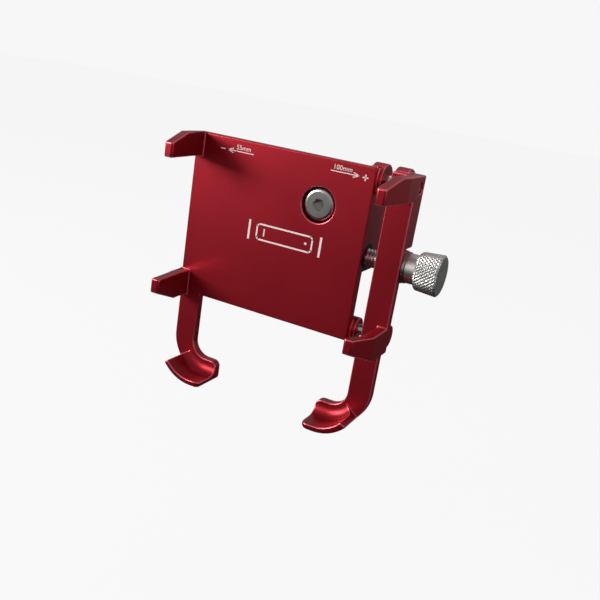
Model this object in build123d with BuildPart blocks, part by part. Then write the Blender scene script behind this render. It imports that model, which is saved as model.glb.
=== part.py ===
from build123d import *
import os
from math import cos, radians, sin

# Phone holder with a handlebar clamp. All sizes are in millimetres.
# The origin is the centre of the handlebar, on the axis of the swivel bolt.
# +X is to the right and +Z up, as seen by someone looking at the phone, and +Y points away from them.

os.makedirs("parts", exist_ok=True)

# ---- driving dimensions -------------------------------------------------------------------------

# Handlebar clamp
bar_r = 11.1
liner_wall = 1.2
ring_wall = 3.0
ring_width = 14.0
ring_split = 3.0
ear_reach = 8.0
ear_wall = 4.0
ear_width = 10.0
pad_r = 7.0
pad_proud = 1.0
pinch_r = 2.0
pinch_head_r = 3.5
pinch_head_length = 4.0
pinch_nut_flats = 7.0
pinch_nut_length = 3.2
pinch_washer_r = 4.5
pinch_washer_length = 0.8

# Swivel bolt and its washers
bolt_r = 2.45
bolt_head_r = 4.3
bolt_head_length = 3.6
bolt_socket_flats = 3.0
bolt_socket_depth = 2.2
bolt_recess = 0.3
bolt_head_dome = 1.0
bolt_washer_length = 1.0
friction_washer_r = 7.0
friction_washer_length = 0.5

# Plate and the block behind it
plate_width = 53.0
plate_height = 45.4
plate_wall = 3.0
plate_corner_r = 0.8
bolt_from_left = 38.9
bolt_from_bottom = 33.2
counterbore_r = 4.75
block_depth = 12.0
block_width = 24.0
block_low = 17.2
block_high = 41.0
block_corner_r = 2.5

# Claws: four prongs that hold the two long sides of the phone
claw_wall = 2.6
claw_reach = 16.0
claw_bend = 4.5
left_claw_lean = 1.3
upper_right_claw_lean = 1.6
lower_right_claw_bend = 9.0
lower_right_claw_lean = 3.0
claw_bend_r = 3.0
claw_tip_r = 0.7
upper_claw_low = 39.0
upper_claw_taper_start = 8.2
upper_claw_taper = 2.6
lower_claw_low = -0.8
lower_claw_high = 6.4
lower_claw_taper_start = 6.5
lower_claw_taper = 3.4

# Legs and feet: two hooks that carry the lower edge of the phone
leg_wall = 2.6
leg_inset = 0.3
leg_width = 6.4
leg_root = 3.0
heel_r = 11.6
heel_start = -12.6
instep_r = 4.6
toe_reach = 15.2
toe_wall_height = 5.8
toe_corner_r = 1.8
sole_corner_r = 1.8
sole_wall = 1.9
sole_reach = 8.4
sole_angle = 38.0
sole_blend_r = 2.8
sole_edge_r = 1.3
right_leg_inset = 0.6

# Sliding arm
arm_gap = 2.5
arm_width = 6.7
arm_wall = 2.7
arm_thick_depth = 6.9
arm_thick_low = 27.0
arm_heel_height = 3.7
arm_heel_depth = 2.5
screw_boss_r = 4.3

# Guide rods, in lugs on the body and on the arm
rod_r = 1.5
rod_depth = 4.8
upper_rod_height = 42.4
lower_rod_height = 2.6
rod_end_margin = 2.2
upper_lug_r = 4.06
lower_lug_r = 3.1
lug_length = 3.6
lug_overhang = 1.3
guide_boss_r = 2.5
rod_recess = 0.5
rod_chamfer = 0.3
grub_r = 0.95
grub_length = 1.4
grub_socket_flats = 0.9
grub_socket_depth = 0.8

# Adjusting screw and its knob
screw_r = 2.45
screw_height = 22.1
screw_end_margin = 6.4
insert_r = 3.5
insert_length = 8.0
clip_r = 3.3
clip_groove_r = 2.0
clip_length = 0.7
clip_pocket_r = 3.6
clip_pocket_depth = 1.3
clip_mouth = 3.0
thrust_washer_r = 4.1
thrust_washer_length = 0.6
collar_r = 3.85
collar_length = 2.9
knob_small_r = 5.0
knob_large_r = 5.4
knob_length = 6.0
knob_edge = 0.35
knob_bore_depth = 6.4
screw_chamfer = 0.5

# Clearances
running = 0.05
press = 0.02
thread_gap = 0.05
bolt_gap = 0.3
axial_gap = 0.1
edge_r = 0.35

# ---- positions worked out from them -------------------------------------------------------------

ring_bore_r = bar_r + liner_wall
ring_outer_r = ring_bore_r + ring_wall
pad_face_y = -(ring_outer_r + pad_proud)
block_back_y = pad_face_y - friction_washer_length
front_y = block_back_y - block_depth
plate_back_y = front_y + plate_wall

left_x = -bolt_from_left
right_x = left_x + plate_width
bottom_z = -bolt_from_bottom
top_z = bottom_z + plate_height
block_left_x = right_x - block_width
body_lug_right_x = right_x + lug_overhang
arm_left_x = body_lug_right_x + arm_gap
arm_right_x = arm_left_x + arm_width

rod_y = front_y + rod_depth
upper_rod_z = bottom_z + upper_rod_height
lower_rod_z = bottom_z + lower_rod_height
screw_z = bottom_z + screw_height
rod_left_x = left_x + rod_end_margin
screw_left_x = left_x + screw_end_margin

front_plane = Plane.XZ.offset(-front_y)
screw_plane = Plane(origin=(0, rod_y, screw_z), x_dir=(1, 0, 0), z_dir=(0, -1, 0))
screw_axis = Axis((0, rod_y, screw_z), (1, 0, 0))


# ---- shapes that are used more than once --------------------------------------------------------

def add_tube_along_x(x_from, x_to, height, radius, mode=Mode.ADD, depth=rod_depth):
    """A round bar or hole along X, at a height above the plate's lower edge and a depth behind its front."""
    with BuildSketch(Plane.YZ.offset(x_from)) as section:
        with Locations((front_y + depth, bottom_z + height)):
            Circle(radius)
    extrude(section.sketch, amount=x_to - x_from, mode=mode)


def add_claw(outer_x, side, low, high, bend, lean_inwards):
    """One prong: straight out of the plate, then leaning inwards. side is -1 on the left, 1 on the right."""
    bend_y = front_y - bend
    tip_y = front_y - claw_reach
    inner_x = outer_x - side * claw_wall
    lean = side * lean_inwards
    with BuildSketch(Plane.XY.offset(bottom_z + low)) as plan:
        with BuildLine():
            Polyline(
                (outer_x, plate_back_y),
                (outer_x, bend_y),
                (outer_x - lean, tip_y),
                (inner_x - lean, tip_y),
                (inner_x, bend_y),
                (inner_x, plate_back_y),
                close=True,
            )
        make_face()
        fillet(plan.vertices().filter_by_position(Axis.Y, bend_y - 0.1, bend_y + 0.1), claw_bend_r)
        fillet(plan.vertices().sort_by(Axis.Y)[:2], claw_tip_r)
    extrude(plan.sketch, amount=high - low)


def cut_claw_taper(edge_z, start, rise):
    """Cut the outer edge of the claws at edge_z back towards the tip; rise is negative on an upper edge."""
    start_y = front_y - start
    tip_y = front_y - claw_reach
    past = claw_reach
    with BuildSketch(Plane.YZ.offset(left_x - 1)) as wedge:
        with BuildLine():
            Polyline(
                (start_y, edge_z),
                (tip_y - past, edge_z + rise * (start_y - tip_y + past) / (start_y - tip_y)),
                (tip_y - past, edge_z - rise),
                (start_y, edge_z - rise),
                close=True,
            )
        make_face()
    extrude(wedge.sketch, amount=arm_right_x - left_x + 2, mode=Mode.SUBTRACT)


def add_leg(outer_x, side):
    """A leg that hooks inwards at its foot, where a scooped sole stands forward. side is as in add_claw."""
    heel = (leg_inset + heel_r, heel_start)
    sole = heel_start - heel_r
    toe_top = sole + toe_wall_height
    leg_inner = leg_inset + leg_width
    instep = (leg_inner + instep_r, toe_top + instep_r)

    def place(inward, height):
        return (outer_x - side * inward, bottom_z + height)

    def on_arc(centre, radius, angle):
        return place(centre[0] - radius * cos(radians(angle)), centre[1] - radius * sin(radians(angle)))

    with BuildSketch(front_plane) as outline:
        with BuildLine():
            Line(place(leg_inset, leg_root), place(leg_inset, heel_start))
            ThreePointArc(on_arc(heel, heel_r, 0), on_arc(heel, heel_r, 45), on_arc(heel, heel_r, 90))
            Line(place(heel[0], sole), place(toe_reach, sole))
            Line(place(toe_reach, sole), place(toe_reach, toe_top))
            Line(place(toe_reach, toe_top), place(instep[0], toe_top))
            ThreePointArc(on_arc(instep, instep_r, 90), on_arc(instep, instep_r, 45), on_arc(instep, instep_r, 0))
            Line(place(leg_inner, instep[1]), place(leg_inner, leg_root))
            Line(place(leg_inner, leg_root), place(leg_inset, leg_root))
        make_face()
        toe_x = place(toe_reach, sole)[0]
        toe_corners = outline.vertices().filter_by_position(Axis.X, toe_x - 0.1, toe_x + 0.1)
        fillet(toe_corners.sort_by(Axis.Y)[-1], toe_corner_r)
    extrude(outline.sketch, amount=-leg_wall)

    inner_r = heel_r - sole_wall
    middle = (sole_angle + 90) / 2
    with BuildSketch(front_plane) as sole_outline:
        with BuildLine():
            ThreePointArc(on_arc(heel, heel_r, sole_angle), on_arc(heel, heel_r, middle), on_arc(heel, heel_r, 90))
            Line(place(heel[0], sole), place(toe_reach, sole))
            Line(place(toe_reach, sole), place(toe_reach, sole + sole_wall))
            Line(place(toe_reach, sole + sole_wall), place(heel[0], sole + sole_wall))
            ThreePointArc(on_arc(heel, inner_r, 90), on_arc(heel, inner_r, middle), on_arc(heel, inner_r, sole_angle))
            Line(on_arc(heel, inner_r, sole_angle), on_arc(heel, heel_r, sole_angle))
        make_face()
    extrude(sole_outline.sketch, amount=sole_reach)
    sole_ends = edges().filter_by(Axis.Z).filter_by_position(Axis.Y, front_y - sole_reach - 0.1, front_y - 0.1)
    toe_x = place(toe_reach, sole)[0]
    fillet(sole_ends.filter_by_position(Axis.X, toe_x - 0.1, toe_x + 0.1), sole_corner_r)
    sole_top = bottom_z + sole + sole_wall
    seam = edges().filter_by_position(Axis.Y, front_y - 0.01, front_y + 0.01)
    seam = seam.filter_by_position(Axis.Z, sole_top - 0.01, bottom_z + sole + heel_r / 2)
    seam_arcs = seam.filter_by(GeomType.CIRCLE).filter_by(lambda edge: abs(edge.radius - inner_r) < 0.01)
    seam_lines = seam.filter_by(GeomType.LINE).filter_by(Axis.X)
    seam_lines = seam_lines.filter_by_position(Axis.Z, sole_top - 0.01, sole_top + 0.01)
    fillet(seam_arcs + seam_lines, sole_blend_r)
    toe_edge = edges().filter_by(Axis.Y).filter_by_position(Axis.Z, bottom_z + sole - 0.01, bottom_z + sole + 0.01)
    fillet(toe_edge.filter_by_position(Axis.X, toe_x - 0.1, toe_x + 0.1), sole_edge_r)


# ---- handlebar clamp ----------------------------------------------------------------------------

ear_y = ring_outer_r + ear_reach / 2
ear_face_x = ring_split / 2 + ear_wall

with BuildPart() as clamp_ring:
    with BuildSketch(Plane.XY.offset(-ring_width / 2)):
        Circle(ring_outer_r)
        Circle(ring_bore_r, mode=Mode.SUBTRACT)
    extrude(amount=ring_width)
    with BuildSketch(Plane.XZ.offset(-pad_face_y)):
        Circle(pad_r)
    extrude(amount=pad_face_y + ring_bore_r)
    with BuildSketch(Plane.XY.offset(-ear_width / 2)):
        with Locations((0, ring_outer_r + (ear_reach - ring_wall) / 2)):
            Rectangle(2 * ear_face_x, ear_reach + ring_wall)
    extrude(amount=ear_width)
    with BuildSketch(Plane.XY.offset(-ring_width / 2)):
        Circle(ring_bore_r)
        with Locations((0, ring_outer_r + ear_reach / 2)):
            Rectangle(ring_split, 2 * ear_reach + 2 * ring_wall)
    extrude(amount=ring_width, mode=Mode.SUBTRACT)
    with BuildSketch(Plane.YZ.offset(-ear_face_x)):
        with Locations((ear_y, 0)):
            Circle(pinch_r + running)
    extrude(amount=2 * ear_face_x, mode=Mode.SUBTRACT)
    with BuildSketch(Plane.XZ):
        Circle(bolt_r + thread_gap)
    extrude(amount=ring_outer_r + 2 * pad_proud, mode=Mode.SUBTRACT)
clamp_ring.part.label = "clamp_ring"
export_step(clamp_ring.part, "parts/clamp_ring.step")

with BuildPart() as clamp_liner:
    with BuildSketch(Plane.XY.offset(-ring_width / 2)):
        Circle(ring_bore_r - press)
        Circle(bar_r, mode=Mode.SUBTRACT)
        with Locations((0, ring_bore_r)):
            Rectangle(ring_split, 2 * ring_wall, mode=Mode.SUBTRACT)
    extrude(amount=ring_width)
clamp_liner.part.label = "clamp_liner"
export_step(clamp_liner.part, "parts/clamp_liner.step")

with BuildPart() as pinch_washer:
    with BuildSketch(Plane.YZ.offset(ear_face_x)):
        with Locations((ear_y, 0)):
            Circle(min(pinch_washer_r, ear_reach / 2))
            Circle(pinch_r + running, mode=Mode.SUBTRACT)
    extrude(amount=pinch_washer_length)
pinch_washer.part.label = "pinch_washer"
export_step(pinch_washer.part, "parts/pinch_washer.step")

pinch_head_x = ear_face_x + pinch_washer_length

with BuildPart() as pinch_bolt:
    with BuildSketch(Plane.YZ.offset(pinch_head_x)):
        with Locations((ear_y, 0)):
            Circle(pinch_head_r)
    extrude(amount=pinch_head_length)
    fillet(pinch_bolt.edges().sort_by(Axis.X)[-1], edge_r)
    with BuildSketch(Plane.YZ.offset(pinch_head_x + pinch_head_length)):
        with Locations((ear_y, 0)):
            RegularPolygon(pinch_r * 0.75, 6, major_radius=False)
    extrude(amount=-pinch_head_length / 2, mode=Mode.SUBTRACT)
    with BuildSketch(Plane.YZ.offset(-ear_face_x - pinch_nut_length - pinch_r / 2)):
        with Locations((ear_y, 0)):
            Circle(pinch_r)
    extrude(amount=ear_face_x + pinch_nut_length + pinch_r / 2 + pinch_head_x)
pinch_bolt.part.label = "pinch_bolt"
export_step(pinch_bolt.part, "parts/pinch_bolt.step")

with BuildPart() as pinch_nut:
    with BuildSketch(Plane.YZ.offset(-ear_face_x)):
        with Locations((ear_y, 0)):
            RegularPolygon(pinch_nut_flats / 2, 6, major_radius=False)
            Circle(pinch_r + running, mode=Mode.SUBTRACT)
    extrude(amount=-pinch_nut_length)
pinch_nut.part.label = "pinch_nut"
export_step(pinch_nut.part, "parts/pinch_nut.step")

# ---- swivel -------------------------------------------------------------------------------------

bolt_top_y = front_y + bolt_recess
bolt_seat_y = bolt_top_y + bolt_head_length
counterbore_y = bolt_seat_y + bolt_washer_length
bolt_tip_y = -(ring_bore_r + axial_gap)

with BuildPart() as friction_washer:
    with BuildSketch(Plane.XZ.offset(-block_back_y)):
        Circle(friction_washer_r)
        Circle(bolt_r + bolt_gap, mode=Mode.SUBTRACT)
    extrude(amount=-friction_washer_length)
friction_washer.part.label = "friction_washer"
export_step(friction_washer.part, "parts/friction_washer.step")

with BuildPart() as swivel_bolt:
    with BuildSketch(Plane.XZ.offset(-bolt_seat_y)):
        Circle(bolt_head_r)
    extrude(amount=bolt_head_length)
    fillet(swivel_bolt.edges().sort_by(Axis.Y)[0], bolt_head_dome)
    with BuildSketch(Plane.XZ.offset(-bolt_top_y)):
        RegularPolygon(bolt_socket_flats / 2, 6, major_radius=False)
    extrude(amount=-bolt_socket_depth, mode=Mode.SUBTRACT)
    with BuildSketch(Plane.XZ.offset(-bolt_seat_y)):
        Circle(bolt_r)
    extrude(amount=bolt_seat_y - bolt_tip_y)
swivel_bolt.part.label = "swivel_bolt"
export_step(swivel_bolt.part, "parts/swivel_bolt.step")

with BuildPart() as bolt_washer:
    with BuildSketch(Plane.XZ.offset(-bolt_seat_y)):
        Circle(bolt_head_r)
        Circle(bolt_r + running, mode=Mode.SUBTRACT)
    extrude(amount=-bolt_washer_length)
bolt_washer.part.label = "bolt_washer"
export_step(bolt_washer.part, "parts/bolt_washer.step")

# ---- holder body: plate, left claws, left leg, rear block and guide lugs -------------------------

body_lug_left_x = body_lug_right_x - lug_length

with BuildPart() as holder_body:
    with BuildSketch(front_plane):
        with Locations((left_x + plate_width / 2, bottom_z + plate_height / 2)):
            RectangleRounded(plate_width, plate_height, plate_corner_r)
    extrude(amount=-plate_wall)
    fillet(holder_body.faces().sort_by(Axis.Y)[0].edges(), edge_r)
    add_claw(left_x, -1, upper_claw_low, plate_height, claw_bend, left_claw_lean)
    cut_claw_taper(top_z, upper_claw_taper_start, -upper_claw_taper)
    add_claw(left_x, -1, lower_claw_low, lower_claw_high, claw_bend, left_claw_lean)
    cut_claw_taper(bottom_z + lower_claw_low, lower_claw_taper_start, lower_claw_taper)
    add_leg(left_x, -1)
    with BuildSketch(Plane.XZ.offset(-block_back_y)) as block:
        with Locations((right_x - block_width / 2, bottom_z + (block_low + block_high) / 2)):
            Rectangle(block_width, block_high - block_low)
        fillet(block.vertices(), block_corner_r)
    extrude(amount=block_back_y - plate_back_y + plate_wall / 2)
    add_tube_along_x(body_lug_left_x, body_lug_right_x, upper_rod_height, upper_lug_r)
    add_tube_along_x(body_lug_left_x, body_lug_right_x, lower_rod_height, lower_lug_r)
    add_tube_along_x(block_left_x, body_lug_left_x, upper_rod_height, guide_boss_r)
    add_tube_along_x(block_left_x, body_lug_left_x, lower_rod_height, guide_boss_r)
    add_tube_along_x(left_x - 1, body_lug_right_x, upper_rod_height, rod_r + running, Mode.SUBTRACT)
    add_tube_along_x(left_x - 1, body_lug_right_x, lower_rod_height, rod_r + running, Mode.SUBTRACT)
    add_tube_along_x(screw_left_x - 3 * screw_r, right_x, screw_height, screw_r + bolt_gap, Mode.SUBTRACT)
    add_tube_along_x(right_x - insert_length, right_x, screw_height, insert_r + press, Mode.SUBTRACT)
    with BuildSketch(front_plane):
        Circle(counterbore_r)
    extrude(amount=front_y - counterbore_y, mode=Mode.SUBTRACT)
    with BuildSketch(front_plane):
        Circle(bolt_r + bolt_gap)
    extrude(amount=-block_depth, mode=Mode.SUBTRACT)
holder_body.part.label = "holder_body"
export_step(holder_body.part, "parts/holder_body.step")

with BuildPart() as screw_insert:
    add_tube_along_x(right_x - insert_length, right_x, screw_height, insert_r)
    add_tube_along_x(right_x - insert_length, right_x, screw_height, screw_r + thread_gap, Mode.SUBTRACT)
screw_insert.part.label = "screw_insert"
export_step(screw_insert.part, "parts/screw_insert.step")

# ---- sliding arm and its rods -------------------------------------------------------------------

arm_lug_right_x = arm_left_x + lug_length
grub_x = arm_left_x + lug_length / 2
grub_inner_y = rod_y + rod_r + running

with BuildPart() as sliding_arm:
    with BuildSketch(front_plane) as bar:
        with Locations((arm_left_x + arm_width / 2, bottom_z + (lower_claw_low + plate_height) / 2)):
            Rectangle(arm_width, plate_height - lower_claw_low)
    extrude(amount=-arm_wall)
    with BuildSketch(front_plane):
        with Locations((arm_left_x + arm_width / 2, bottom_z + (arm_thick_low + plate_height) / 2)):
            Rectangle(arm_width, plate_height - arm_thick_low)
    extrude(amount=-arm_thick_depth)
    add_claw(arm_right_x, 1, upper_claw_low, plate_height, claw_bend, upper_right_claw_lean)
    cut_claw_taper(top_z, upper_claw_taper_start, -upper_claw_taper)
    add_claw(
        arm_right_x, 1, lower_claw_low, lower_claw_high, lower_right_claw_bend, lower_right_claw_lean
    )
    cut_claw_taper(bottom_z + lower_claw_low, lower_claw_taper_start, lower_claw_taper)
    add_leg(arm_right_x - right_leg_inset, 1)
    # above the plate's lower edge the leg is no wider than the arm, so that the arm can close
    with BuildSketch(front_plane) as leg_trim:
        with Locations((arm_left_x - right_leg_inset, bottom_z + (lower_claw_low + leg_root + 1) / 2)):
            Rectangle(2 * right_leg_inset, leg_root + 1 - lower_claw_low)
    extrude(leg_trim.sketch, amount=-leg_wall, mode=Mode.SUBTRACT)
    add_tube_along_x(arm_left_x, arm_lug_right_x, upper_rod_height, upper_lug_r)
    add_tube_along_x(arm_left_x, arm_lug_right_x, lower_rod_height, lower_lug_r)
    add_tube_along_x(arm_lug_right_x, arm_right_x, arm_heel_height, lower_lug_r, depth=arm_heel_depth)
    add_tube_along_x(arm_left_x, arm_right_x, screw_height, screw_boss_r)
    add_tube_along_x(arm_left_x, arm_right_x, upper_rod_height, rod_r + press, Mode.SUBTRACT)
    add_tube_along_x(arm_left_x, arm_lug_right_x, lower_rod_height, rod_r + press, Mode.SUBTRACT)
    add_tube_along_x(arm_left_x, arm_right_x, screw_height, screw_r + running, Mode.SUBTRACT)
    add_tube_along_x(arm_left_x, arm_left_x + clip_pocket_depth, screw_height, clip_pocket_r, Mode.SUBTRACT)
    with BuildSketch(Plane.XZ.offset(-rod_y)):
        with Locations((grub_x, upper_rod_z), (grub_x, lower_rod_z)):
            Circle(grub_r + thread_gap)
    extrude(amount=-2 * upper_lug_r, mode=Mode.SUBTRACT)
sliding_arm.part.label = "sliding_arm"
export_step(sliding_arm.part, "parts/sliding_arm.step")

with BuildPart() as upper_guide_rod:
    add_tube_along_x(rod_left_x, arm_right_x - rod_recess, upper_rod_height, rod_r)
    chamfer(upper_guide_rod.edges().filter_by(GeomType.CIRCLE), rod_chamfer)
upper_guide_rod.part.label = "upper_guide_rod"
export_step(upper_guide_rod.part, "parts/upper_guide_rod.step")

with BuildPart() as lower_guide_rod:
    add_tube_along_x(rod_left_x, arm_lug_right_x - axial_gap, lower_rod_height, rod_r)
    chamfer(lower_guide_rod.edges().filter_by(GeomType.CIRCLE), rod_chamfer)
lower_guide_rod.part.label = "lower_guide_rod"
export_step(lower_guide_rod.part, "parts/lower_guide_rod.step")

with BuildPart() as grub_screws:
    with BuildSketch(Plane.XZ.offset(-grub_inner_y)):
        with Locations((grub_x, upper_rod_z), (grub_x, lower_rod_z)):
            Circle(grub_r)
    extrude(amount=-grub_length)
    with BuildSketch(Plane.XZ.offset(-grub_inner_y - grub_length)):
        with Locations((grub_x, upper_rod_z), (grub_x, lower_rod_z)):
            RegularPolygon(grub_socket_flats / 2, 6, major_radius=False)
    extrude(amount=grub_socket_depth, mode=Mode.SUBTRACT)
grub_screws.part.label = "grub_screws"
export_step(grub_screws.part, "parts/grub_screws.step")

# ---- adjusting screw, its clip, washer and knob --------------------------------------------------

clip_right_x = arm_left_x + clip_pocket_depth - axial_gap
clip_left_x = clip_right_x - clip_length
washer_left_x = arm_right_x + axial_gap
hub_left_x = washer_left_x + thrust_washer_length
grip_left_x = hub_left_x + collar_length
grip_right_x = grip_left_x + knob_length

with BuildPart() as adjusting_screw:
    add_tube_along_x(screw_left_x, hub_left_x + knob_bore_depth - axial_gap, screw_height, screw_r)
    chamfer(adjusting_screw.edges().filter_by(GeomType.CIRCLE), screw_chamfer)
    with BuildSketch(Plane.YZ.offset(clip_left_x - axial_gap / 2)):
        with Locations((rod_y, screw_z)):
            Circle(clip_pocket_r)
            Circle(clip_groove_r, mode=Mode.SUBTRACT)
    extrude(amount=clip_length + axial_gap, mode=Mode.SUBTRACT)
adjusting_screw.part.label = "adjusting_screw"
export_step(adjusting_screw.part, "parts/adjusting_screw.step")

with BuildPart() as retaining_clip:
    with BuildSketch(Plane.YZ.offset(clip_left_x)):
        with Locations((rod_y, screw_z)):
            Circle(clip_r)
            Circle(clip_groove_r + press, mode=Mode.SUBTRACT)
        with Locations((rod_y + clip_r, screw_z)):
            Rectangle(2 * clip_r, clip_mouth, mode=Mode.SUBTRACT)
    extrude(amount=clip_length)
retaining_clip.part.label = "retaining_clip"
export_step(retaining_clip.part, "parts/retaining_clip.step")

with BuildPart() as thrust_washer:
    add_tube_along_x(washer_left_x, hub_left_x, screw_height, thrust_washer_r)
    add_tube_along_x(washer_left_x, hub_left_x, screw_height, screw_r + running, Mode.SUBTRACT)
thrust_washer.part.label = "thrust_washer"
export_step(thrust_washer.part, "parts/thrust_washer.step")

with BuildPart() as knob:
    with BuildSketch(screw_plane):
        with BuildLine():
            Polyline(
                (hub_left_x, 0),
                (hub_left_x, collar_r),
                (grip_left_x, collar_r),
                (grip_left_x, knob_small_r - knob_edge),
                (grip_left_x + knob_edge, knob_small_r),
                (grip_right_x - knob_edge, knob_large_r),
                (grip_right_x, knob_large_r - knob_edge),
                (grip_right_x, 0),
                close=True,
            )
        make_face()
    revolve(axis=screw_axis)
    add_tube_along_x(hub_left_x, hub_left_x + knob_bore_depth, screw_height, screw_r + press, Mode.SUBTRACT)
knob.part.label = "knob"
export_step(knob.part, "parts/knob.step")
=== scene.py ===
import math

import bpy
from mathutils import Matrix, Vector
from mathutils.bvhtree import BVHTree


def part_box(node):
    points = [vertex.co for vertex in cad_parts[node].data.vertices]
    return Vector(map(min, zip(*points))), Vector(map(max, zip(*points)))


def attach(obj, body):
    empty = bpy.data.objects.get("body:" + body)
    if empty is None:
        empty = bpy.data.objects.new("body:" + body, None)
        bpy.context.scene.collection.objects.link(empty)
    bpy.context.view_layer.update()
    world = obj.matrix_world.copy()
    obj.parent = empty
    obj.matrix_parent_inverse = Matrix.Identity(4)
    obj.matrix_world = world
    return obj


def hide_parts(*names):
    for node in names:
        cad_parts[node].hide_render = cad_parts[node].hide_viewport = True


# Phone holder on a handlebar clamp: red anodised aluminium, with a plated steel screw and a nickel knob.
# Everything is in metres, in the frame of the clamp: +X to the knob, +Z up, -Y out of the plate's front.

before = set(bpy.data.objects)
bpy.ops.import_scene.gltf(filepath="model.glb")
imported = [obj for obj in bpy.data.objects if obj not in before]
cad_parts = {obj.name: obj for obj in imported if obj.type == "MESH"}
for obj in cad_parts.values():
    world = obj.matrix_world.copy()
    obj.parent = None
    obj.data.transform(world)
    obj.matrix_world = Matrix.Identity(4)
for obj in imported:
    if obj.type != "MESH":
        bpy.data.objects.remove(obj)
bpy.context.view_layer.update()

MM = 0.001

# shaping: points this near are one, and a bend of fewer degrees than these is no edge
WELD = 0.001 * MM
FLAT_ANGLE = 0.5
SMOOTH_ANGLE = 30
SHARP_ANGLE = 35
ROUNDED_SMOOTH_ANGLE = 50
# how much the large faces set the shading, and how far a rounding may stray, as a share of its width
LEVEL_WEIGHT = 60
STRAY_SHARE = 0.6

# ---- making and shaping pieces ------------------------------------------------------------------


def deselect_all():
    if bpy.context.object and bpy.context.object.mode != "OBJECT":
        bpy.ops.object.mode_set(mode="OBJECT")
    bpy.ops.object.select_all(action="DESELECT")


def pick(piece):
    """Make one piece the only selected and the active object."""
    deselect_all()
    piece.select_set(True)
    bpy.context.view_layer.objects.active = piece


def smooth(piece, angle=SMOOTH_ANGLE):
    pick(piece)
    bpy.ops.object.shade_smooth_by_angle(angle=math.radians(angle))


def copy_of_node(node, name):
    """A copy of a machined part with its loose triangles joined, so that its edges can be rounded."""
    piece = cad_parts[node].copy()
    piece.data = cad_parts[node].data.copy()
    piece.name = name
    piece.data.name = name
    for key in list(piece.keys()):
        if key.startswith("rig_"):
            del piece[key]
    piece.parent = None
    bpy.context.scene.collection.objects.link(piece)
    pick(piece)
    bpy.ops.object.mode_set(mode="EDIT")
    bpy.ops.mesh.select_all(action="SELECT")
    bpy.ops.mesh.remove_doubles(threshold=WELD)
    bpy.ops.mesh.dissolve_limited(angle_limit=math.radians(FLAT_ANGLE))
    bpy.ops.mesh.select_all(action="DESELECT")
    bpy.ops.object.mode_set(mode="OBJECT")
    return piece


def round_edges(piece, width, segments=3):
    """Round the sharp edges. The rounding takes the piece's second material."""
    sharp_skin = BVHTree.FromPolygons(
        [vertex.co.copy() for vertex in piece.data.vertices],
        [tuple(face.vertices) for face in piece.data.polygons],
    )
    low, high = piece.bound_box[0][:], piece.bound_box[6][:]
    pick(piece)
    bevel = piece.modifiers.new("rounded_edges", "BEVEL")
    bevel.width = width
    bevel.segments = segments
    bevel.limit_method = "ANGLE"
    bevel.angle_limit = math.radians(SHARP_ANGLE)
    bevel.use_clamp_overlap = False
    bevel.material = 1
    bpy.ops.object.modifier_apply(modifier=bevel.name)
    # Where short edges crowd together, the bevel can throw a corner out. It is brought back to the skin.
    for vertex in piece.data.vertices:
        on_skin, _, _, away = sharp_skin.find_nearest(vertex.co)
        if away > STRAY_SHARE * width:
            vertex.co = on_skin
        for axis in range(3):
            vertex.co[axis] = max(low[axis], min(high[axis], vertex.co[axis]))
    bpy.ops.object.mode_set(mode="EDIT")
    bpy.ops.mesh.select_all(action="SELECT")
    bpy.ops.mesh.quads_convert_to_tris(quad_method="BEAUTY", ngon_method="BEAUTY")
    bpy.ops.mesh.select_all(action="DESELECT")
    bpy.ops.object.mode_set(mode="OBJECT")
    smooth(piece, ROUNDED_SMOOTH_ANGLE)
    level = piece.modifiers.new("level_faces", "WEIGHTED_NORMAL")
    level.mode = "FACE_AREA"
    level.weight = LEVEL_WEIGHT
    level.keep_sharp = True
    bpy.ops.object.modifier_apply(modifier=level.name)


def turned_piece(name, axis_point, stations, sectors, relief=None):
    """A solid turned about X through axis_point.

    stations are (x, radius) pairs from left to right. relief(x, turns) is what is cut away below the radius,
    at an angle given in turns.
    """
    deselect_all()
    bpy.ops.mesh.primitive_grid_add(x_subdivisions=len(stations) - 1, y_subdivisions=sectors, size=1)
    piece = bpy.context.object
    piece.name = name
    piece.data.name = name
    for vertex in piece.data.vertices:
        station = round((vertex.co.x + 0.5) * (len(stations) - 1))
        turns = round((vertex.co.y + 0.5) * sectors) / sectors
        x, radius = stations[station]
        if relief:
            radius -= relief(x, turns % 1)
        angle = 2 * math.pi * turns
        along_y = axis_point[1] + radius * math.cos(angle)
        along_z = axis_point[2] + radius * math.sin(angle)
        vertex.co = (x, along_y, along_z)
    pick(piece)
    bpy.ops.object.mode_set(mode="EDIT")
    bpy.ops.mesh.select_all(action="SELECT")
    bpy.ops.mesh.remove_doubles(threshold=WELD)
    bpy.ops.mesh.select_all(action="DESELECT")
    bpy.ops.mesh.select_non_manifold()
    bpy.ops.mesh.edge_face_add()
    bpy.ops.mesh.select_all(action="SELECT")
    bpy.ops.mesh.fill_holes(sides=0)
    bpy.ops.mesh.normals_make_consistent(inside=False)
    bpy.ops.mesh.select_all(action="DESELECT")
    bpy.ops.object.mode_set(mode="OBJECT")
    return piece


def triangle_wave(turns):
    """0 at each whole turn and 1 half-way between."""
    return 1 - abs(2 * (turns % 1) - 1)


# ---- materials ----------------------------------------------------------------------------------


class Value:
    """A number that varies over a surface: an output socket with arithmetic."""

    def __init__(self, finish, socket):
        self.finish = finish
        self.socket = socket

    def math(self, operation, other=0.0, swapped=False):
        first, second = (other, self) if swapped else (self, other)
        return self.finish.node("ShaderNodeMath", {"operation": operation}, {0: first, 1: second})

    def __add__(self, other):
        return self.math("ADD", other)

    def __sub__(self, other):
        return self.math("SUBTRACT", other)

    def __rsub__(self, other):
        return self.math("SUBTRACT", other, swapped=True)

    def __mul__(self, other):
        return self.math("MULTIPLY", other)

    __radd__ = __add__
    __rmul__ = __mul__

    def clamped(self):
        return self.finish.node("ShaderNodeClamp", {}, {0: self})


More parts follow.
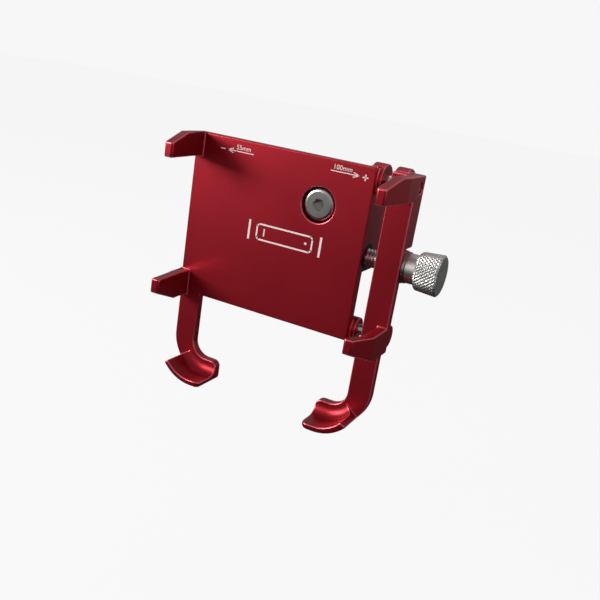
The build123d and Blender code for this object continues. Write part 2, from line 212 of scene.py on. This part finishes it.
class Finish:
    """One material, built around its surface shader."""

    def __init__(self, name, **constants):
        self.material = bpy.data.materials.new(name)
        self.material.use_nodes = True
        self.tree = self.material.node_tree
        self.shader = self.tree.nodes["Principled BSDF"]
        for socket, value in constants.items():
            self.shader.inputs[socket.replace("_", " ")].default_value = value
        self.place = self.node("ShaderNodeTexCoord", {}, {}, "Object")

    def node(self, kind, settings, inputs, output=0):
        made = self.tree.nodes.new(kind)
        for name, value in settings.items():
            if name == "stops":
                while len(made.color_ramp.elements) < len(value):
                    made.color_ramp.elements.new(0.5)
                for element, (position, color) in zip(made.color_ramp.elements, value):
                    element.position = position
                    element.color = color
            else:
                setattr(made, name, value)
        for socket, value in inputs.items():
            if isinstance(value, Value):
                self.tree.links.new(value.socket, made.inputs[socket])
            else:
                made.inputs[socket].default_value = value
        return Value(self, made.outputs[output])

    def noise(self, scale, detail=3.0, roughness=0.55, place=None):
        settings = {"noise_dimensions": "3D"}
        inputs = {
            "Vector": place or self.place,
            "Scale": scale,
            "Detail": detail,
            "Roughness": roughness,
        }
        return self.node("ShaderNodeTexNoise", settings, inputs, "Fac")

    def stretched(self, scales):
        return self.node("ShaderNodeMapping", {}, {"Vector": self.place, "Scale": scales}, "Vector")

    def blend(self, share, first, second):
        settings = {"data_type": "RGBA", "clamp_factor": True}
        return self.node("ShaderNodeMix", settings, {"Factor": share, 6: first, 7: second}, 2)

    def feed(self, socket, value):
        self.tree.links.new(value.socket, self.shader.inputs[socket])

    def bump(self, height, strength, distance):
        inputs = {"Height": height, "Strength": strength, "Distance": distance}
        self.feed("Normal", self.node("ShaderNodeBump", {}, inputs, "Normal"))

    def put_on(self, piece):
        piece.data.materials.clear()
        piece.data.materials.append(self.material)


def anodised_red(name, deep, bright, roughness):
    """Bead-blasted aluminium, anodised deep red: a satin metal with a fine, even grain."""
    finish = Finish(name, Metallic=0.86, Specular_IOR_Level=0.55, Coat_Roughness=0.30)
    grain = finish.noise(5200.0, 2.0, 0.6)
    cloud = finish.noise(38.0, 3.0)
    speck = finish.noise(1700.0, 2.0, 0.7)
    finish.feed("Base Color", finish.blend((cloud * 0.8 + grain * 0.5 - 0.15).clamped(), deep, bright))
    finish.feed("Roughness", roughness + cloud * 0.05 + speck * 0.08)
    finish.feed("Coat Weight", 0.22 + cloud * 0.08)
    finish.bump(grain * 0.8 + speck * 0.6, 0.36, 0.02 * MM)
    return finish


def steel(name, color, roughness, turned=0.0):
    """Bright steel with fine marks round the X axis where it is turned."""
    finish = Finish(name, Metallic=1.0, Specular_IOR_Level=0.5)
    cloud = finish.noise(120.0, 3.0)
    lines = finish.noise(900.0, 2.0, 0.6, finish.stretched((6.0, 0.25, 0.25)))
    dark = tuple(0.82 * channel for channel in color) + (1,)
    finish.feed("Base Color", finish.blend(cloud, dark, color + (1,)))
    finish.feed("Roughness", (roughness - 0.04) + cloud * 0.06 + lines * (0.04 + turned * 0.05))
    finish.bump(lines, 0.10 + 0.25 * turned, 0.01 * MM)
    return finish


def black_rubber():
    finish = Finish("black_rubber", Specular_IOR_Level=0.35)
    speck = finish.noise(900.0, 4.0)
    cloud = finish.noise(60.0, 2.0)
    finish.feed("Base Color", finish.blend(cloud, (0.018, 0.018, 0.019, 1), (0.040, 0.040, 0.041, 1)))
    finish.feed("Roughness", 0.66 + speck * 0.2)
    finish.bump(speck, 0.4, 0.05 * MM)
    return finish


def dark_nylon():
    finish = Finish("dark_nylon", Specular_IOR_Level=0.45)
    speck = finish.noise(1500.0, 3.0)
    finish.feed("Base Color", finish.blend(speck, (0.030, 0.030, 0.032, 1), (0.052, 0.052, 0.055, 1)))
    finish.feed("Roughness", 0.46 + speck * 0.12)
    finish.bump(speck, 0.2, 0.02 * MM)
    return finish


def engraved_silver():
    """The bare bright metal of the marks cut through the red."""
    finish = Finish("engraved_silver", Metallic=0.25, Specular_IOR_Level=0.5)
    speck = finish.noise(4200.0, 2.0)
    finish.feed("Base Color", finish.blend(speck, (0.56, 0.44, 0.43, 1), (0.82, 0.74, 0.73, 1)))
    finish.feed("Roughness", 0.45 + speck * 0.15)
    return finish


DEEP_RED = (0.300, 0.0055, 0.0135, 1)
BRIGHT_RED = (0.430, 0.0105, 0.0245, 1)
# painted highlight: the lighter, pinker reds on the rounded edges stand in for the light that the edges
# catch
PAINTED_HIGHLIGHT_RED = (0.66, 0.075, 0.115, 1)
PAINTED_HIGHLIGHT_PINK = (0.86, 0.150, 0.200, 1)
STEEL_GREY = (0.66, 0.65, 0.63)
GROUND_GREY = (0.72, 0.72, 0.72)
NICKEL_GREY = (0.70, 0.69, 0.67)
OXIDE_BLACK = (0.055, 0.055, 0.058)

red = anodised_red("anodised_red", DEEP_RED, BRIGHT_RED, 0.33)
edge_highlight_finish = anodised_red("anodised_red_painted_highlight", PAINTED_HIGHLIGHT_RED, PAINTED_HIGHLIGHT_PINK, 0.26)
bright_steel = steel("bright_steel", STEEL_GREY, 0.24, 0.4)
ground_steel = steel("ground_steel", GROUND_GREY, 0.16, 0.6)
nickel = steel("nickel_plate", NICKEL_GREY, 0.36, 0.2)
black_oxide = steel("black_oxide", OXIDE_BLACK, 0.38)
rubber = black_rubber()
nylon = dark_nylon()
silver = engraved_silver()

NODE_FINISHES = {
    "clamp_liner": rubber,
    "pinch_bolt": bright_steel,
    "pinch_washer": bright_steel,
    "pinch_nut": bright_steel,
    "swivel_bolt": bright_steel,
    "bolt_washer": bright_steel,
    "friction_washer": nylon,
    "screw_insert": black_oxide,
    "upper_guide_rod": ground_steel,
    "lower_guide_rod": ground_steel,
    "grub_screws": black_oxide,
    "retaining_clip": bright_steel,
    "thrust_washer": bright_steel,
    "adjusting_screw": bright_steel,
    "knob": nickel,
    "holder_body": red,
    "sliding_arm": red,
    "clamp_ring": red,
}
for node, finish in NODE_FINISHES.items():
    finish.put_on(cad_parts[node])
    smooth(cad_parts[node])

# ---- the red parts, with their edges rounded and a painted highlight on the roundings --------------

EDGE = 0.30 * MM

for node, name, body in (
    ("holder_body", "holder_plate", "holder"),
    ("sliding_arm", "arm_casting", "arm"),
    ("clamp_ring", "clamp_band", "clamp"),
):
    part = copy_of_node(node, name)
    red.put_on(part)
    # the roundings take the second material, a painted highlight in lighter pink-red
    part.data.materials.append(edge_highlight_finish.material)
    round_edges(part, EDGE)
    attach(part, body)
    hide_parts(node)

# ---- adjusting screw with its thread, and the knurled knob ----------------------------------------

THREAD_PITCH = 0.8 * MM
THREAD_DEPTH = 0.42 * MM
STEPS_PER_PITCH = 6
THREAD_SECTORS = 24
THREAD_RUNOUT = 0.3 * MM
SCREW_CHAMFER = 0.5 * MM
CLIP_GROOVE_R = 2.0 * MM
CLIP_PLAY = 0.05 * MM
SCREW_SMOOTH_ANGLE = 40

screw_low, screw_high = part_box("adjusting_screw")
knob_low, knob_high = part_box("knob")
screw_axis = (screw_low + screw_high) / 2
screw_r = (screw_high.z - screw_low.z) / 2
knob_r = (knob_high.z - knob_low.z) / 2
clip_low, clip_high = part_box("retaining_clip")


def thread_relief(x, turns):
    return THREAD_DEPTH * (1 - triangle_wave(x / THREAD_PITCH - turns))


def thread_fade(x):
    """The thread runs out at both ends of the screw, and at the plain part that turns in the arm."""
    ends = min(x - screw_low.x, screw_high.x - x) / THREAD_PITCH
    journal = (clip_low.x - THREAD_RUNOUT - x) / THREAD_PITCH
    return max(0.0, min(1.0, ends, journal))


stations = []
turn_count = int((screw_high.x - screw_low.x) / THREAD_PITCH * STEPS_PER_PITCH)
for step in range(turn_count + 1):
    x = screw_low.x + (screw_high.x - screw_low.x) * step / turn_count
    from_end = min(x - screw_low.x, screw_high.x - x)
    radius = min(screw_r, screw_r - SCREW_CHAMFER + from_end)
    if clip_low.x - CLIP_PLAY <= x <= clip_high.x + CLIP_PLAY:
        radius = CLIP_GROOVE_R
    stations.append((x, radius))
threaded_screw = turned_piece(
    "threaded_screw",
    screw_axis,
    stations,
    THREAD_SECTORS,
    lambda x, turns: thread_relief(x, turns) * thread_fade(x),
)
smooth(threaded_screw, SCREW_SMOOTH_ANGLE)
bright_steel.put_on(threaded_screw)
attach(threaded_screw, "screw")
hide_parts("adjusting_screw")

HUB_R = 3.85 * MM
HUB_LENGTH = 2.9 * MM
GRIP_SMALL_R = 5.0 * MM
GRIP_EDGE = 0.35 * MM
KNURL_DEPTH = 0.24 * MM
KNURL_COUNT = 34
KNURL_ROWS = 11.0
KNURL_SHARPNESS = 1.6
KNURL_FADE = 0.05
KNURL_SECTORS = 6 * KNURL_COUNT
GRIP_STEPS = 64
KNOB_SMOOTH_ANGLE = 28

grip_left = knob_low.x + HUB_LENGTH
grip_length = knob_high.x - grip_left


def knurl_relief(x, turns):
    """Crossed helical grooves that leave pointed diamonds, fading out at both ends of the grip."""
    along = (x - grip_left) / grip_length
    if along <= 0 or along >= 1:
        return 0.0
    rows = along * KNURL_ROWS / 2
    around = turns * KNURL_COUNT
    height = min(triangle_wave(around + rows), triangle_wave(around - rows))
    fade = min(1.0, along / KNURL_FADE, (1 - along) / KNURL_FADE)
    return KNURL_DEPTH * (1 - min(1.0, KNURL_SHARPNESS * height)) * fade


knob_stations = [
    (knob_low.x, 0.45 * HUB_R),
    (knob_low.x, HUB_R - 0.35 * MM),
    (knob_low.x + 0.05 * MM, HUB_R - 0.15 * MM),
    (knob_low.x + 0.25 * MM, HUB_R),
    (grip_left - 0.35 * MM, HUB_R),
    (grip_left - 0.02 * MM, HUB_R),
    (grip_left, HUB_R + 0.05 * MM),
    (grip_left, GRIP_SMALL_R - GRIP_EDGE),
]
for step in range(GRIP_STEPS + 1):
    share = step / GRIP_STEPS
    from_left = GRIP_EDGE + share * (grip_length - 2 * GRIP_EDGE)
    radius = GRIP_SMALL_R + (knob_r - GRIP_SMALL_R) * share
    knob_stations.append((grip_left + from_left, radius))
knob_stations += [
    (knob_high.x, knob_r - GRIP_EDGE - 0.1 * MM),
    (knob_high.x, 0.6 * knob_r),
    (knob_high.x, 0.2 * knob_r),
]
knurled_knob = turned_piece("knurled_knob", screw_axis, knob_stations, KNURL_SECTORS, knurl_relief)
smooth(knurled_knob, KNOB_SMOOTH_ANGLE)
nickel.put_on(knurled_knob)
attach(knurled_knob, "screw")
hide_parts("knob")

# ---- marks engraved in the plate's front ----------------------------------------------------------

PLATE_FRONT = -28.8 * MM
PLATE_LEFT = -38.9 * MM
PLATE_FOOT = -33.2 * MM
MARK_PROUD = 0.02 * MM
MARK_DEPTH = 0.06 * MM

# the marks' own sizes, in millimetres on the plate
MINUS_LINE = 0.28
PLUS_LINE = 0.32
ARROW_LINE = 0.22
BARB_LENGTH = 1.6
BARB_RISE = 0.6
LETTER_SIZE = 1.75
LETTER_RISE = 0.5
# a line is this many of its widths longer than its run, so that corners close
LINE_OVERRUN = 0.6


def on_plate(x, z):
    """A point on the plate's front, in millimetres from its lower left corner."""
    return (PLATE_LEFT + x * MM, PLATE_FRONT - MARK_PROUD, PLATE_FOOT + z * MM)


mark_pieces = []


def stroke(x0, z0, x1, z1, width):
    """A straight engraved line between two points of the plate."""
    start, end = Vector(on_plate(x0, z0)), Vector(on_plate(x1, z1))
    run = end - start
    deselect_all()
    bpy.ops.mesh.primitive_cube_add(size=1, location=(0, 0, 0))
    line = bpy.context.object
    line.scale = (run.length + width * MM * LINE_OVERRUN, MARK_DEPTH, width * MM)
    line.rotation_euler = (0, -math.atan2(run.z, run.x), 0)
    line.location = (start + end) / 2 + Vector((0, MARK_DEPTH / 2, 0))
    bpy.ops.object.transform_apply(location=True, rotation=True, scale=True)
    mark_pieces.append(line)


def lettering(words, x, z, size):
    deselect_all()
    bpy.ops.object.text_add(location=on_plate(x, z), rotation=(math.radians(90), 0, 0))
    text = bpy.context.object
    text.data.body = words
    text.data.size = size * MM
    text.data.extrude = MARK_DEPTH / 2
    text.data.resolution_u = 3
    bpy.ops.object.convert(target="MESH")
    text = bpy.context.object
    text.location.y += MARK_DEPTH / 2
    bpy.ops.object.transform_apply(location=True, rotation=True, scale=True)
    mark_pieces.append(text)


def arrow(tip, tail, height):
    """An arrow along the plate, pointing from its tail to its tip."""
    barb = tip + math.copysign(BARB_LENGTH, tail - tip)
    stroke(min(tip, tail), height, max(tip, tail), height, ARROW_LINE)
    stroke(tip, height, barb, height + BARB_RISE, ARROW_LINE)
    stroke(tip, height, barb, height - BARB_RISE, ARROW_LINE)


# narrowest and widest setting, each with a sign and an arrow
NARROW_Z = 42.2
WIDE_Z = 42.6

stroke(8.2, NARROW_Z, 9.4, NARROW_Z, MINUS_LINE)
arrow(10.4, 18.2, NARROW_Z)
lettering("55mm", 12.9, NARROW_Z + LETTER_RISE, LETTER_SIZE)
arrow(48.7, 40.9, WIDE_Z)
stroke(49.7, 42.5, 51.1, 42.5, PLUS_LINE)
stroke(50.4, 41.8, 50.4, 43.2, PLUS_LINE)
lettering("100mm", 41.4, WIDE_Z + LETTER_RISE, LETTER_SIZE)

# a plain pictogram of a phone lying between two stops
PHONE_LEFT, PHONE_RIGHT = 22.4, 39.0
PHONE_LOW, PHONE_TOP = 20.4, 24.6
PHONE_CORNER = 0.6
PHONE_LINE = 0.45
SPEAKER_LINE = 0.35
STOP_LINE = 0.6

inner_left, inner_right = PHONE_LEFT + PHONE_CORNER, PHONE_RIGHT - PHONE_CORNER
inner_low, inner_top = PHONE_LOW + PHONE_CORNER, PHONE_TOP - PHONE_CORNER
for height in (PHONE_TOP, PHONE_LOW):
    stroke(inner_left, height, inner_right, height, PHONE_LINE)
for side in (PHONE_LEFT, PHONE_RIGHT):
    stroke(side, inner_low, side, inner_top, PHONE_LINE)
stroke(PHONE_LEFT, inner_top, inner_left, PHONE_TOP, PHONE_LINE)
stroke(inner_right, PHONE_TOP, PHONE_RIGHT, inner_top, PHONE_LINE)
stroke(PHONE_LEFT, inner_low, inner_left, PHONE_LOW, PHONE_LINE)
stroke(inner_right, PHONE_LOW, PHONE_RIGHT, inner_low, PHONE_LINE)
stroke(24.6, 21.6, 24.6, 23.4, SPEAKER_LINE)
stroke(37.0, 22.5, 37.3, 22.5, STOP_LINE)
for stop in (20.0, 41.4):
    stroke(stop, 20.0, stop, 25.0, STOP_LINE)

deselect_all()
for line in mark_pieces:
    line.select_set(True)
bpy.context.view_layer.objects.active = mark_pieces[0]
bpy.ops.object.join()
plate_marks = bpy.context.object
plate_marks.name = "plate_marks"
plate_marks.data.name = "plate_marks"
silver.put_on(plate_marks)
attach(plate_marks, "holder")

# ---- stage, light and camera ----------------------------------------------------------------------

FLOOR_Z = -0.105
FLOOR_SIZE = 6
BACKDROP = (0.93, 0.93, 0.93, 1)
PAPER_GREY = (0.06, 0.06, 0.06, 1)
PAPER_GLOW = 0.96

deselect_all()
bpy.ops.mesh.primitive_plane_add(size=FLOOR_SIZE, location=(0, 0, FLOOR_Z))
floor = bpy.context.object
floor.name = "pale_floor"
paper = bpy.data.materials.new("pale_paper")
paper.use_nodes = True
paper_shader = paper.node_tree.nodes["Principled BSDF"]
paper_shader.inputs["Base Color"].default_value = PAPER_GREY
paper_shader.inputs["Roughness"].default_value = 0.9
paper_shader.inputs["Specular IOR Level"].default_value = 0.0
paper_shader.inputs["Emission Color"].default_value = BACKDROP
paper_shader.inputs["Emission Strength"].default_value = PAPER_GLOW
floor.data.materials.append(paper)
floor.visible_glossy = False

# the room: soft light from above that fades towards the ground, and a plain backdrop for the camera
world = bpy.data.worlds.new("studio")
bpy.context.scene.world = world
world.use_nodes = True
room = world.node_tree
backdrop = room.nodes["Background"]
backdrop.inputs["Color"].default_value = BACKDROP
around = room.nodes.new("ShaderNodeTexCoord")
split = room.nodes.new("ShaderNodeSeparateXYZ")
room.links.new(around.outputs["Generated"], split.inputs[0])
height_ramp = room.nodes.new("ShaderNodeMapRange")
height_ramp.interpolation_type = "SMOOTHSTEP"
for socket, value in (("From Min", -0.38), ("From Max", 0.25), ("To Min", 0.02), ("To Max", 0.36)):
    height_ramp.inputs[socket].default_value = value
room.links.new(split.outputs["Z"], height_ramp.inputs["Value"])
seen = room.nodes.new("ShaderNodeLightPath")
strength = room.nodes.new("ShaderNodeMix")
strength.inputs["B"].default_value = 1.0
room.links.new(seen.outputs["Is Camera Ray"], strength.inputs["Factor"])
room.links.new(height_ramp.outputs["Result"], strength.inputs["A"])
room.links.new(strength.outputs["Result"], backdrop.inputs["Strength"])


def softbox(name, place, target, width, height, power):
    light = bpy.data.lights.new(name, "AREA")
    light.shape = "RECTANGLE"
    light.size = width
    light.size_y = height
    light.energy = power
    lamp = bpy.data.objects.new(name, light)
    bpy.context.scene.collection.objects.link(lamp)
    lamp.location = place
    lamp.rotation_euler = (Vector(target) - Vector(place)).to_track_quat("-Z", "Y").to_euler()


softbox("upper_left_softbox", (-0.52, -0.46, 0.20), (-0.01, -0.03, 0), 0.34, 0.26, 5.0)
softbox("top_softbox", (-0.10, 0.12, 0.62), (0, -0.03, 0), 0.4, 0.3, 0.4)
softbox("right_softbox", (0.60, -0.06, 0.10), (0.03, -0.03, -0.01), 0.30, 0.30, 0.6)

SENSOR_WIDTH = 36.0
LENS = 44.34
NEAREST_SEEN = 0.005
CAMERA_PLACE = (0.0764, -0.2010, 0.0310)
CAMERA_FORWARD = (-0.391, 0.874, -0.289)
CAMERA_UP = (-0.264, 0.194, 0.945)

camera_data = bpy.data.cameras.new("view")
camera_data.sensor_width = SENSOR_WIDTH
camera_data.lens = LENS
camera_data.clip_start = NEAREST_SEEN
camera = bpy.data.objects.new("view", camera_data)
bpy.context.scene.collection.objects.link(camera)
camera.location = CAMERA_PLACE
forward = Vector(CAMERA_FORWARD).normalized()
upward = Vector(CAMERA_UP)
sideways = forward.cross(upward).normalized()
upward = sideways.cross(forward)
camera.rotation_euler = Matrix((sideways, upward, -forward)).transposed().to_euler()
bpy.context.scene.camera = camera
bpy.context.scene.view_settings.view_transform = "Standard"
